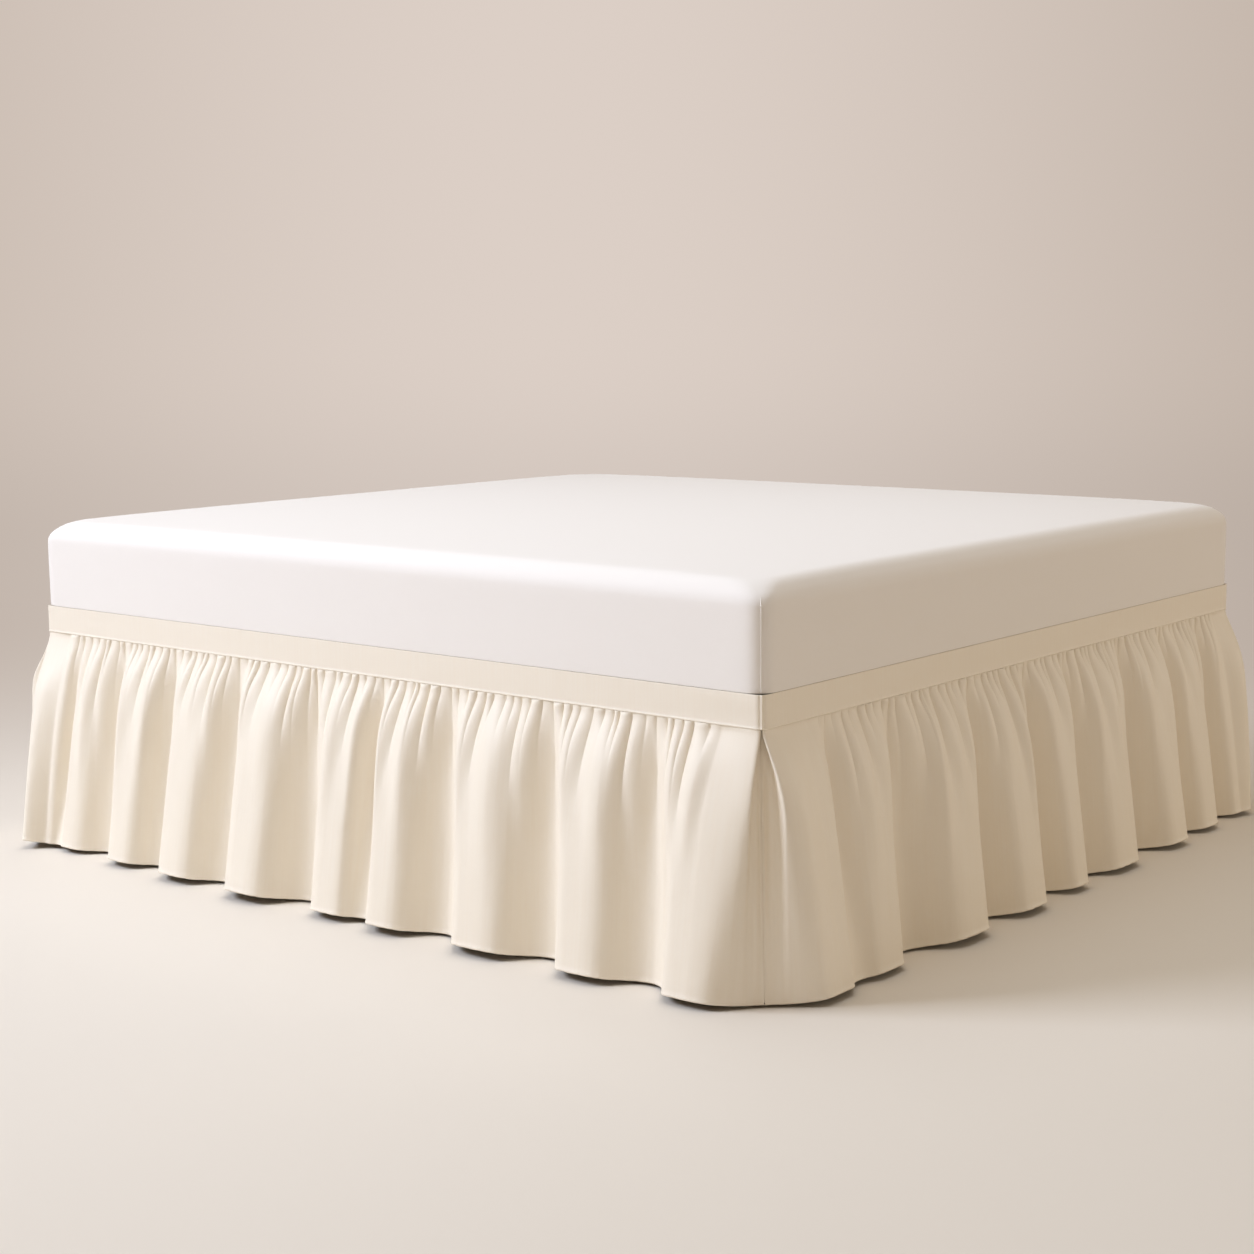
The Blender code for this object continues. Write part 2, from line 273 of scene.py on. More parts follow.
# %% Add the lights
def add_panel(name, place, aim, size, power, colour):
    """Add a soft rectangular light that faces a point."""
    lamp = bpy.data.lights.new(name, "AREA")
    lamp.shape = "RECTANGLE"
    lamp.size, lamp.size_y = size
    lamp.energy = power
    lamp.color = linear(colour)[:3]
    panel = bpy.data.objects.new(name, lamp)
    bpy.context.scene.collection.objects.link(panel)
    panel.location = place
    toward = Matrix.Translation(aim).translation - panel.location
    panel.rotation_euler = toward.to_track_quat("-Z", "Y").to_euler()
    print(name, power, "W at", place)


add_panel("window_side", (-5.6, 4.7, 5.2), (-0.5, 0.1, 0.3), (3.2, 2.8), 579, "#E3ECFF")
add_panel("overhead", (-0.6, 0.0, 4.2), (0.0, 0.0, 0.5), (4.0, 4.0), 73, "#F0F7FF")
add_panel("foot_fill", (5.6, -5.9, 1.5), (0.0, -1.1, 0.35), (2.0, 1.6), 86, "#FFF3E2")

# %% [markdown]
# ## Cotton sateen
#
# The band and the ruffle are cotton sateen in cream. Sateen is woven so that each weft thread
# floats over several warp threads, which gives a smooth face with a soft sheen and no clear grid.
# The material gets a warm cream, a broad soft highlight and some sheen from the short fibres. The
# real threads are 0.25 mm apart, too fine to show, so they are drawn 1.2 mm apart. A wave texture
# repeats once in each unit at a scale of 0.314. Slightly thicker threads run up and down the cloth
# as very faint streaks, and pressing has left the cloth a little uneven over a few centimetres.

# %% Cotton sateen material
CREAM = "#F6EEDF"
CREAM_STREAK = "#F5ECDC"
FIBRE_TINT = "#FFF4E2"
THREAD_PITCH = 1.2 * MM
STREAK_WIDTH = 5.0 * MM
STREAK_LENGTH = 140.0 * MM
PRESSED_SIZE = 45.0 * MM
WAVE_SCALE = 0.314


def sateen():
    """Cotton sateen: woven, with long floats that give a smooth soft face."""
    material, tree, shader = new_material("cotton_sateen_cream", {
        "Roughness": 0.52, "Specular IOR Level": 0.35,
        "Sheen Weight": 0.18, "Sheen Roughness": 0.45, "Sheen Tint": linear(FIBRE_TINT)})
    place = add_node(tree, "TexCoord")
    streak_scale = add_node(tree, "Mapping", None,
                            {"Scale": (1 / STREAK_WIDTH, 1 / STREAK_LENGTH, 1.0)},
                            {"Vector": (place, "UV")})
    streaks = add_node(tree, "TexNoise", {"noise_dimensions": "2D"},
                       {"Scale": 1.0, "Detail": 2.0}, {"Vector": (streak_scale, 0)})
    tone = add_node(tree, "MapRange", None, {"From Min": 0.3, "From Max": 0.8}, {"Value": (streaks, 0)})
    colour = add_node(tree, "Mix", {"data_type": "RGBA"},
                      {6: linear(CREAM), 7: linear(CREAM_STREAK)}, {0: (tone, "Result")})
    tree.links.new(colour.outputs[2], shader.inputs["Base Color"])
    thread_scale = add_node(tree, "Mapping", None,
                            {"Scale": (1 / THREAD_PITCH, 1 / THREAD_PITCH, 1.0)},
                            {"Vector": (place, "UV")})
    warp, weft = (add_node(tree, "TexWave", {"bands_direction": way},
                           {"Scale": WAVE_SCALE, "Distortion": 0.6, "Detail": 1.0},
                           {"Vector": (thread_scale, 0)}) for way in "XY")
    threads = add_node(tree, "Math", {"operation": "MULTIPLY"}, None, {0: (warp, 1), 1: (weft, 1)})
    fine = add_node(tree, "Bump", None, {"Strength": 0.04, "Distance": 0.1 * MM},
                    {"Height": (threads, 0)})
    pressed = add_node(tree, "TexNoise", {"noise_dimensions": "2D"},
                       {"Scale": 1 / PRESSED_SIZE, "Detail": 1.5}, {"Vector": (place, "UV")})
    uneven = add_node(tree, "Bump", None, {"Strength": 0.5, "Distance": 2.0 * MM},
                      {"Height": (pressed, 0), "Normal": (fine, 0)})
    tree.links.new(uneven.outputs[0], shader.inputs["Normal"])
    return material


COTTON = sateen()
print(COTTON.name)

# %% [markdown]
# ## How gathered cloth falls
#
# The ruffle is one strip of cloth, longer than the side that it hangs on. A thread gathers its
# top edge to the side's length, and the spare cloth stands in folds. Three sizes of fold are laid
# over each other:
#
# - Main folds run from the seam to the hem and grow all the way down. Each valley starts as a
#   narrow dart at the seam and opens further down, steeply on one side and slowly on the other.
#   A crest puffs out soon below the seam and then grows evenly, and its sides swing in under it.
#   The places are a table, because the eye follows them, and no two are alike.
# - Ridges start at the seam between the deepest gathers, and each ends somewhere between four and
#   nine tenths of the way down.
# - Fine gathers are about 24 mm apart and fade within a hand's width of the seam.
#
# The tables give places along a side in metres, from the front left or the back right corner.

# %% The main folds
CLOTH_LENGTH = 0.480
HEADING = 8 * MM
SEAM_Z = BAND_LOW.z - 0.3 * MM
SEAM_DEPTH = 2.0 * MM
SWING = 0.36
SWING_GROWTH = 0.30
PUFF_SHARE = 0.34
PUFF_LENGTH = 0.20
STEEP_SIDE_KEEN = (9.0, 2.3)
SLOW_SIDE_KEEN = (5.0, 1.25)
VALLEY_OPENING = 0.25
VALLEY_RISE = 1.5

# A crest and the valley after it: places along the side at the seam and the hem, reach at the hem
LONG_FOLDS = (
    (0.090, 0.090, 0.106), (0.235, 0.212, 0.043),
    (0.360, 0.338, 0.112), (0.478, 0.452, 0.036),
    (0.610, 0.584, 0.116), (0.738, 0.720, 0.044),
    (0.850, 0.838, 0.119), (0.925, 0.915, 0.074),
    (0.990, 0.982, 0.113), (1.118, 1.111, 0.039),
    (1.235, 1.229, 0.128), (1.358, 1.360, 0.048),
    (1.460, 1.466, 0.117), (1.568, 1.579, 0.046),
    (1.650, 1.664, 0.104), (1.745, 1.764, 0.036),
    (1.850, 1.870, 0.091), (1.895, 1.910, 0.078),
    (1.942, 1.946, 0.092),
)
SHORT_FOLDS = (
    (0.110, 0.108, 0.101), (0.190, 0.184, 0.078),
    (0.275, 0.265, 0.096), (0.405, 0.388, 0.036),
    (0.570, 0.550, 0.112), (0.690, 0.674, 0.042),
    (0.790, 0.786, 0.110), (0.918, 0.914, 0.034),
    (1.000, 0.996, 0.103), (1.086, 1.082, 0.042),
    (1.210, 1.206, 0.104), (1.348, 1.352, 0.030),
    (1.460, 1.470, 0.106), (1.552, 1.568, 0.044),
    (1.640, 1.658, 0.094), (1.745, 1.758, 0.034),
    (1.835, 1.838, 0.088),
)


def find_span(marks, along):
    """Return which span between marks each place is in, and the share of the way across it."""
    start = np.clip(np.searchsorted(marks, along, side="right") - 1, 0, len(marks) - 2)
    return start, np.clip((along - marks[start]) / (marks[start + 1] - marks[start]), 0.0, 1.0)


def spread(down):
    """Return how much of its reach at the hem a crest has, at a share of the drop."""
    puff = (1 - math.exp(-down / PUFF_LENGTH)) / (1 - math.exp(-1 / PUFF_LENGTH))
    return PUFF_SHARE * puff + (1 - PUFF_SHARE) * down


def main_fold(folds, along, down):
    """Return where points of the seam lie, along and out, in the main folds at this drop."""
    places, hem_places, reaches = np.array(folds).T
    start, share = find_span(places, along)
    width = places[start + 1] - places[start]
    rising = start % 2 == 1
    crest = np.where(rising, reaches[start + 1], reaches[start]) * spread(down)
    valley = np.where(rising, reaches[start], reaches[start + 1]) * down**VALLEY_RISE
    from_crest = np.where(rising, 1 - share, share)
    opened = 1 - math.exp(-down / VALLEY_OPENING)
    steep, slow = (keen[0] + (keen[1] - keen[0]) * opened for keen in (STEEP_SIDE_KEEN, SLOW_SIDE_KEEN))
    keen = np.where(rising, slow, steep)
    fall = (0.5 - 0.5 * np.cos(np.pi * from_crest)) ** keen
    swing = SWING * (1 - math.exp(-down / SWING_GROWTH))
    sway = swing * width / (2 * np.pi) * np.sin(2 * np.pi * share)
    drift = np.interp(along, places, (hem_places - places) * down)
    return along + sway + drift, crest + (valley - crest) * fall


print(len(LONG_FOLDS), "crests and valleys on a long side,", len(SHORT_FOLDS), "on a short one")

# %% [markdown]
# ## Ridges and gathers
#
# A dart is a place where the gathering thread pulls the cloth in deepest. The cloth between two
# darts stands up as a ridge, round on top and sharp at the dart. Further down a ridge gets
# narrower and softer, and then it ends in the main folds. Between the darts the thread also makes
# finer gathers. They are drawn at random from a fixed seed, because a hand pushes them along a
# thread. Every dart is also the edge of a gather, and the columns of the mesh stand closest beside
# those edges, so that they stay crisp.

# %% The ridges and the fine gathers
RIDGE_REACH = 0.014
RIDGE_RISE = 0.10
RIDGE_END = (0.40, 0.95)
RIDGE_SHARPNESS = 2.6
RIDGE_SOFTENING = (0.05, 0.45)
DART_DEPTH = 0.005
DART_PEAK = 0.09
EASE = 0.020
SHORT_LEAD = 0.25
GATHER_PITCH = 24 * MM
GATHER_REACH = 8.0 * MM
GATHER_MARK = 0.55
GATHER_TOP = 0.40
GATHER_RISE = 7 * MM
GATHER_LIFE = (26 * MM, 95 * MM)
GATHER_FADING = 1.3
GATHER_HEIGHTS = (0.6, 1.25)
GATHER_SHIFT = 0.28
GATHER_COLUMNS = 7

LONG_DARTS = (
    0.090, 0.150, 0.235, 0.290, 0.380, 0.478, 0.556, 0.645, 0.738,
    0.795, 0.860, 0.925, 0.995, 1.060, 1.118, 1.180, 1.262, 1.358,
    1.430, 1.496, 1.568, 1.656, 1.745, 1.810, 1.860, 1.942,
)
SHORT_DARTS = (
    0.110, 0.190, 0.245, 0.300, 0.405, 0.485, 0.550, 0.610, 0.690,
    0.748, 0.810, 0.862, 0.918, 1.008, 1.086, 1.140, 1.200, 1.262,
    1.348, 1.448, 1.552, 1.625, 1.688, 1.745, 1.835,
)


def smooth(low, high, value):
    """Ease from 0 at the low end to 1 at the high end."""
    share = np.clip((value - low) / (high - low), 0.0, 1.0)
    return share * share * (3 - 2 * share)


def ridge_shape(share, softness):
    """Return a ridge's height across its span: sharp at both darts, or a soft wave."""
    sharp = 1 - abs(2 * share - 1) ** RIDGE_SHARPNESS
    soft = 0.5 - 0.5 * np.cos(2 * np.pi * share)
    return sharp + (soft - sharp) * softness


def random_gathers(darts, seed):
    """Return the fine gathers between a side's darts: their marks, heights and lives."""
    dice = np.random.default_rng(seed)
    marks = [darts[0]]
    for start, end in zip(darts, darts[1:]):
        count = max(1, round((end - start) / GATHER_PITCH))
        shares = (np.arange(1, count) + dice.uniform(-GATHER_SHIFT, GATHER_SHIFT, count - 1)) / count
        marks.extend([*(start + (end - start) * shares), end])
    heights = dice.uniform(*GATHER_HEIGHTS, len(marks) - 1)
    lives = dice.uniform(*GATHER_LIFE, len(marks) - 1)
    return np.array(marks), heights, lives


def seam_columns(marks):
    """Return the places of the mesh's columns along the seam, closest beside the marks."""
    shares = 0.5 - 0.5 * np.cos(np.pi * np.arange(GATHER_COLUMNS) / GATHER_COLUMNS)
    spans = np.diff(marks)
    return np.append((marks[:-1, None] + spans[:, None] * shares).ravel(), marks[-1])


def gather_height(gathers, along, dropped):
    """Return how far the fine gathers stand out at a distance below the seam."""
    marks, heights, lives = gathers
    start, share = find_span(marks, along)
    rise = GATHER_TOP + (1 - GATHER_TOP) * smooth(0.0, GATHER_RISE, dropped)
    crest = heights[start] * ridge_shape(share, 0.0) * np.exp(-(dropped / lives[start]) ** GATHER_FADING)
    mark = GATHER_MARK * math.exp(-(dropped / np.mean(GATHER_LIFE)) ** GATHER_FADING)
    return GATHER_REACH * rise * (crest - mark)


def ridge_height(darts, ridge_ends, along, down):
    """Return how far the ridges stand out at a share of the drop."""
    start, share = find_span(np.array(darts), along)
    end = ridge_ends[start]
    body = (1 - math.exp(-down / RIDGE_RISE)) * (1 - smooth(0.1 * end, end, down))
    shape = ridge_shape(share, smooth(*RIDGE_SOFTENING, down)) ** (1 + (down / end) ** 2)
    pull = down / DART_PEAK * math.exp(1 - down / DART_PEAK)
    return RIDGE_REACH * shape * body - DART_DEPTH * pull


print(len(random_gathers(LONG_DARTS, 1)[1]), "fine gathers on a long side")

# %% [markdown]
# ## The inverted pleat at a corner
#
# At a corner the cloth of each side folds back behind itself and meets the other side's cloth in
# a seam at the back of the pleat. The pleat is closed at the band and opens like a tent towards
# the hem. A station is a place across the pleat, and its row says where it lies at the seam, at a
# third of the drop and at the hem. A smooth curve runs through the stations at every height.
# The pleat at the back left corner stands out further than the others.

# %% The stations of a pleat
# Each row: station, then how far along and how far out, in mm, at the seam, a third down, the hem
PLEAT = (
    ("shoulder", (45.0, -2.0), (45.0, 54.0), (57.0, 96.0)),
    ("lip", (23.0, -2.0), (16.0, 47.5), (33.0, 73.0)),
    ("outer edge", (10.8, -3.8), (6.6, 41.8), (19.0, 55.0)),
    ("folded edge", (8.8, -6.4), (4.8, 39.0), (14.0, 49.0)),
    ("inner edge", (11.4, -8.6), (5.8, 34.6), (10.5, 44.5)),
    ("return", (19.0, -6.6), (9.5, 28.0), (7.0, 40.0)),
    ("inner turn", (25.5, -6.6), (12.0, 21.5), (3.0, 35.0)),
    ("inner fold", (27.5, -8.6), (11.5, 14.5), (-1.0, 30.0)),
    ("back", (24.0, -10.9), (8.5, 7.5), (-6.0, 24.5)),
)
PLEAT_SEAM_IN = (16.0, 7.0, -15.0)
PLEAT_SEAM_FLAT = 0.003
PLEAT_THIRD = 0.34
LONG_PLEAT_OPENING = 0.86
SHORT_PLEAT_OPENING = 1.14
FLARED_ENDS = {"left": 1.34, "head": 1.55}
SEAM_GAP = 0.3 * MM


def through_three(seam, third, hem, down):
    """Read a value at this drop from its values at the seam, a third down and the hem."""
    upper = (third - seam) / PLEAT_THIRD
    lower = (hem - third) / (1 - PLEAT_THIRD)
    bend = 2 * upper * lower / (upper + lower) if upper * lower > 0 else 0.0
    if down < PLEAT_THIRD:
        start, end, width, share = seam, third, PLEAT_THIRD, down / PLEAT_THIRD
        leave, arrive = 1.5 * upper - 0.5 * bend, bend
    else:
        width = 1 - PLEAT_THIRD
        start, end, share = third, hem, (down - PLEAT_THIRD) / width
        leave, arrive = bend, 1.5 * lower - 0.5 * bend
    ease = share**2 * (3 - 2 * share)
    return (start + (end - start) * ease + width * leave * share * (1 - share) ** 2
            - width * arrive * share**2 * (1 - share))


def pleat_stations(opening, down, flare=1.0):
    """Return a pleat's stations at this drop, from its back seam to its shoulder."""
    inward = through_three(*PLEAT_SEAM_IN, down) * MM
    back = SEAM_GAP / (2 * math.sqrt(2))
    stations = [(inward + back, -inward + back),
                (inward + PLEAT_SEAM_FLAT, -inward + PLEAT_SEAM_FLAT)]
    wider = 1 + (flare - 1) * smooth(0.0, 0.3, down)
    for _, seam, third, hem in reversed(PLEAT):
        along = through_three(seam[0], third[0], hem[0], down) * MM
        out = through_three(seam[1], third[1] * opening, hem[1], down) * MM * wider
        stations.append((along, out))
    return stations


def curve_through(stations, steps):
    """Return a smooth curve through the stations, with a number of steps between each two."""
    points = np.array(stations)
    points = np.vstack([2 * points[0] - points[1], points])
    curve = []
    for a, b, c, d in zip(points, points[1:], points[2:], points[3:]):
        t1 = np.linalg.norm(b - a) ** 0.5
        t2 = t1 + np.linalg.norm(c - b) ** 0.5
        t3 = t2 + np.linalg.norm(d - c) ** 0.5
        for t in np.linspace(t1, t2, steps, endpoint=False):
            ab = a + (b - a) * t / t1
            bc = b + (c - b) * (t - t1) / (t2 - t1)
            cd = c + (d - c) * (t - t2) / (t3 - t2)
            abc = ab + (bc - ab) * t / t2
            bcd = bc + (cd - bc) * (t - t1) / (t3 - t1)
            curve.append(abc + (bcd - abc) * (t - t1) / (t2 - t1))
    return np.array(curve)


print(len(pleat_stations(LONG_PLEAT_OPENING, 0.0)), "stations across half a pleat")

# %% [markdown]
# ## The four ruffle panels
#
# A panel is a grid primitive whose points are set line by line: across the pleat, over the
# gathered stretch, and across the pleat at the far corner. Cloth doesn't stretch, so a point that
# swings outwards also rises: its height comes from its distance down the cloth and how far it has
# moved in plan. The last few millimetres are the rolled hem, a little proud of the cloth. A
# Solidify modifier then gives the cloth its thickness. The band is made with the same function.
#
# The UV map is the flat cloth itself in metres, so that threads are the same size everywhere.

# %% Make a sheet of cloth from a grid of points
def make_cloth(name, points, across, down, flip, thickness, offset):
    """Make a sheet through the points, with a flat UV map of its places across and down."""
    lines, columns = points.shape[:2]
    bpy.ops.mesh.primitive_grid_add(x_subdivisions=columns - 1, y_subdivisions=lines - 1, size=1.0)
    sheet = bpy.context.active_object
    sheet.name = name
    sheet.data.vertices.foreach_set("co", points.ravel())
    flat = np.stack(np.meshgrid(across, down), axis=2).reshape(-1, 2)
    corners = np.empty(len(sheet.data.loops), dtype=np.int32)
    sheet.data.loops.foreach_get("vertex_index", corners)
    sheet.data.uv_layers.active.data.foreach_set("uv", flat[corners].ravel())
    if flip:
        sheet.data.flip_normals()
    sheet.data.update()
    apply_modifier(sheet, "SOLIDIFY", thickness=thickness, offset=offset)
    sheet.data.shade_smooth()
    sheet.data.materials.append(COTTON)
    print(name, columns, "by", lines, "points, cloth", round(float(across[-1]), 2), "m wide")
    return sheet


# %% Lines down the cloth and columns across it
PLEAT_STEPS = 5
TOP_LINE_STEP = 1.6 * MM
LINE_GROWTH = 1.16
LONGEST_LINE_STEP = 10.5 * MM
HEM_ROLL = 5 * MM
HEM_PROUD = 1.0 * MM
CLOTH_THICK = 1.3 * MM
HEADING_SOFTNESS = 6 * MM
HEM_LINES = 6
STEEPEST = 0.45
RIDGE_SEED = 50


def line_drops():
    """Return how far down the cloth each line of points lies."""
    drops, step = [0.0], TOP_LINE_STEP
    while drops[-1] + step < CLOTH_LENGTH - HEM_ROLL - step / 2:
        drops.append(drops[-1] + step)
        step = min(step * LINE_GROWTH, LONGEST_LINE_STEP)
    hem = np.linspace(CLOTH_LENGTH - HEM_ROLL, CLOTH_LENGTH, HEM_LINES)
    return np.concatenate([drops, hem])


def plan_place(side, along, out):
    """Put along and out distances of a side on the floor plan."""
    if side == "left":
        return -HALF_WIDTH - out, -HALF_LENGTH + along
    if side == "foot":
        return -HALF_WIDTH + along, -HALF_LENGTH - out
    if side == "right":
        return HALF_WIDTH + out, HALF_LENGTH - along
    return HALF_WIDTH - along, HALF_LENGTH + out


def panel_line(pattern, gathers, ridge_ends, dropped):
    """Return one line of a panel across the side, as along and out distances."""
    folds, darts, length, opening, lead, flare = pattern
    below = dropped - HEADING
    down = (below + math.hypot(below, HEADING_SOFTNESS)) / 2 / (CLOTH_LENGTH - HEADING)
    down = min(down, 1.0)
    seam = seam_columns(gathers[0])
    along, out = main_fold(folds, seam, down)
    ease = smooth(-EASE, lead, seam - darts[0]) * smooth(-EASE, EASE, darts[-1] - seam)
    out = np.maximum(out + ease * ridge_height(darts, ridge_ends, seam, down), 0.0)
    out = out - SEAM_DEPTH + ease * gather_height(gathers, seam, dropped)
    middle = np.column_stack([along, out])
    near = pleat_stations(opening, down)
    far = [(length - a, o) for a, o in pleat_stations(opening, down, flare)]
    start = curve_through([*near, middle[0], middle[1]], PLEAT_STEPS)
    end = curve_through([*far, middle[-1], middle[-2]], PLEAT_STEPS)[::-1]
    return np.vstack([start, middle, end])


# %% Make the panels
def make_panel(side, seed):
    """Make one ruffle panel from its tables."""
    is_long = side in ("left", "right")
    length = 2 * (HALF_LENGTH if is_long else HALF_WIDTH)
    darts = LONG_DARTS if is_long else SHORT_DARTS
    pattern = (LONG_FOLDS if is_long else SHORT_FOLDS, darts, length,
               LONG_PLEAT_OPENING if is_long else SHORT_PLEAT_OPENING,
               EASE if is_long else SHORT_LEAD, FLARED_ENDS.get(side, 1.0))
    gathers = random_gathers(darts, seed)
    ridge_ends = np.random.default_rng(seed + RIDGE_SEED).uniform(*RIDGE_END, len(darts) - 1)
    drops = line_drops()
    plan = np.array([panel_line(pattern, gathers, ridge_ends, dropped) for dropped in drops])
    moved = np.linalg.norm(plan - plan[0], axis=2)
    along, out = plan[..., 0], plan[..., 1]
    roll = np.sin(np.pi * np.clip((drops - CLOTH_LENGTH + HEM_ROLL) / HEM_ROLL, 0, 1))
    out = out + HEM_PROUD * roll[:, None]
    x, y = plan_place(side, along, out)
    z = SEAM_Z - np.sqrt(np.maximum(drops[:, None] ** 2 - moved**2, (STEEPEST * drops[:, None]) ** 2))
    points = np.stack([x, y, z], axis=2)
    across = np.append(0.0, np.cumsum(np.linalg.norm(np.diff(points[-1], axis=0), axis=1)))
    panel = make_cloth(f"ruffle_cloth_{side}", points, across, drops, not is_long, CLOTH_THICK, 0.0)
    return panel, float(across[-1])


PANEL_SEEDS = {"left": 11, "foot": 12, "right": 13, "head": 14}
BAND_SEED = 20
panels = {side: make_panel(side, seed) for side, seed in PANEL_SEEDS.items()}
for side, (panel, flat_width) in panels.items():
    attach(panel, "root")
    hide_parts(f"ruffle_{side}")

# %% [markdown]
# ## The band
#
# The band is a straight strip of the same cotton, folded over at its top edge and sewn to the
# ruffle along its lower edge. The seam's turnings make a narrow raised lip there. Four strips
# meet in upright seams at the corners, each a small bead beside a groove. Sewing leaves soft
# puckers in the strips, and the left one has a crease that starts at the front corner. A strip is
# a grid again: its lines follow a short section, and its columns follow the rounded corner, the
# straight side and the next corner.

# %% The band's section and its path
BAND_HEIGHT = BAND_HIGH.z - BAND_LOW.z
BAND_CORNER = 0.018
CORNER_STEPS = 18
CORNER_CROWDING = 1.7
BAND_STEP = 9 * MM
BAND_CLOTH = 2.0 * MM
LIP_HEIGHT = 4.0 * MM
LIP_PROUD = 0.7 * MM
FOLD_ROUND = 1.5 * MM
GROOVE_DEPTH = 0.3 * MM
GROOVE_ABOVE_LIP = 0.8 * MM
SEAM_BEAD = 1.5 * MM
SEAM_BEAD_WIDTH = 1.5 * MM
SEAM_GROOVE = 0.6 * MM
SEAM_GROOVE_PLACE = 2.6 * SEAM_BEAD_WIDTH
PUCKER = 0.5 * MM
PUCKER_COUNT = 26
PUCKER_WIDTH = (0.05, 0.22)
PUCKER_LEVEL = (0.2, 0.85)
PUCKER_TALL = (0.1, 0.25)
PUCKER_LEAN = 0.25


def band_heights():
    """Return the heights of the band's lines above its lower edge."""
    lip = np.linspace(0.0, LIP_HEIGHT, 9)
    face = np.linspace(LIP_HEIGHT, BAND_HEIGHT - FOLD_ROUND, 15)[1:]
    fold = BAND_HEIGHT - FOLD_ROUND + FOLD_ROUND * np.sin(np.linspace(0, np.pi / 2, 6))[1:]
    return np.concatenate([lip, face, fold])


def band_path(length):
    """Return the band's columns as along and out distances, with the way that faces out."""
    turn = math.radians(45) * (1 - np.linspace(0, 1, CORNER_STEPS, endpoint=False) ** CORNER_CROWDING)
    start = np.column_stack([BAND_CORNER * (1 - np.sin(turn)), BAND_CORNER * (np.cos(turn) - 1)])
    facing = np.column_stack([-np.sin(turn), np.cos(turn)])
    straight = np.linspace(BAND_CORNER, length - BAND_CORNER, round(length / BAND_STEP))
    middle = np.column_stack([straight, np.zeros_like(straight)])
    ahead = np.tile([0.0, 1.0], (len(straight), 1))
    mirror = np.array([-1.0, 1.0])
    end = start[::-1] * mirror + [length, 0.0]
    return np.vstack([start, middle, end]), np.vstack([facing, ahead, facing[::-1] * mirror])


def band_relief(along, length, heights, seed):
    """Return how far the band's cloth stands out from its flat strip, at each line and column."""
    dice = np.random.default_rng(seed)
    lip = LIP_PROUD * np.sin(np.pi * np.clip(heights / LIP_HEIGHT, 0, 1))
    groove = -GROOVE_DEPTH * np.exp(-((heights - LIP_HEIGHT - GROOVE_ABOVE_LIP) / MM) ** 2)
    fold = -FOLD_ROUND / 2 * np.clip((heights - BAND_HEIGHT + FOLD_ROUND) / FOLD_ROUND, 0, 1) ** 3
    relief = np.tile((lip + groove + fold)[:, None], (1, len(along)))
    high = heights[:, None] / BAND_HEIGHT
    for _ in range(PUCKER_COUNT):
        centre, width = dice.uniform(0, length), dice.uniform(*PUCKER_WIDTH)
        level, tall = dice.uniform(*PUCKER_LEVEL), dice.uniform(*PUCKER_TALL)
        lean = dice.uniform(-PUCKER_LEAN, PUCKER_LEAN)
        ripple = np.exp(-((along[None] - centre) / width) ** 2)
        ripple = ripple * np.exp(-((high - level - lean * (along[None] - centre) / width) / tall) ** 2)
        relief += dice.uniform(-PUCKER, PUCKER) * ripple
    return relief


# %% Make the band's strips
CREASE_LEVEL = 18 * MM
CREASE_DEPTH = 0.5 * MM
CREASE_WIDTH = 0.8 * MM
CREASE_REACH = 0.22


def make_strip(side, seed):
    """Make one strip of the band, from the middle of one corner to the middle of the next."""
    is_long = side in ("left", "right")
    length = 2 * (HALF_LENGTH if is_long else HALF_WIDTH)
    heights = band_heights()
    path, facing = band_path(length)
    relief = band_relief(path[:, 0], length, heights, seed)
    from_seam = np.append(0.0, np.cumsum(np.linalg.norm(np.diff(path, axis=0), axis=1)))
    if side == "left":
        crease = np.exp(-((heights - CREASE_LEVEL) / CREASE_WIDTH) ** 2)[:, None]
        relief -= CREASE_DEPTH * crease * (1 - smooth(0.0, CREASE_REACH, from_seam))[None]
    bead = SEAM_BEAD * np.exp(-(from_seam / SEAM_BEAD_WIDTH) ** 2)
    groove = SEAM_GROOVE * np.exp(-((from_seam - SEAM_GROOVE_PLACE) / SEAM_BEAD_WIDTH) ** 2)
    relief += (bead - groove)[None]
    along = path[None, :, 0] + facing[None, :, 0] * relief
    out = path[None, :, 1] + facing[None, :, 1] * relief
    x, y = plan_place(side, along, out)
    z = np.broadcast_to((BAND_LOW.z + heights)[:, None], x.shape)
    points = np.stack([x, y, z], axis=2)
    strip = make_cloth(f"band_cloth_{side}", points, from_seam, heights, is_long, BAND_CLOTH, -1.0)
    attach(strip, "root")
    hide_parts(f"band_{side}")


for side, seed in PANEL_SEEDS.items():
    make_strip(side, seed + BAND_SEED)

# %% [markdown]
# ## The mattress
#
# The mattress is a padded block in a smooth white knit cover. A cube is given its size, and cuts
# across it, closer together near the edges, give its faces points to shape. Each point is then
# moved to the rounded form: the top edge is a soft roll, the upright corners are tighter, and the
# lower edge is tucked in over the band. The top gets its crown and drops a little at the corners.
# Subdivision smooths it all.

# %% Cut the block
UPRIGHT_ROUND = 38 * MM
TOP_ROUND = 46 * MM
LOW_ROUND = 1.6 * MM
CORNER_ZONE = 100 * MM
ROUND_ON_TOP = 54 * MM
SIDE_FULLNESS = 9 * MM
CROWN = 9 * MM
CORNER_DROP = 5 * MM
CORNER_FOCUS = 10
SIDE_TUCK = 0.5 * MM
CUT_STEP = 0.07
EDGE_CUTS = (5, 11, 18, 27, 38, 52, 68, 84, 100)

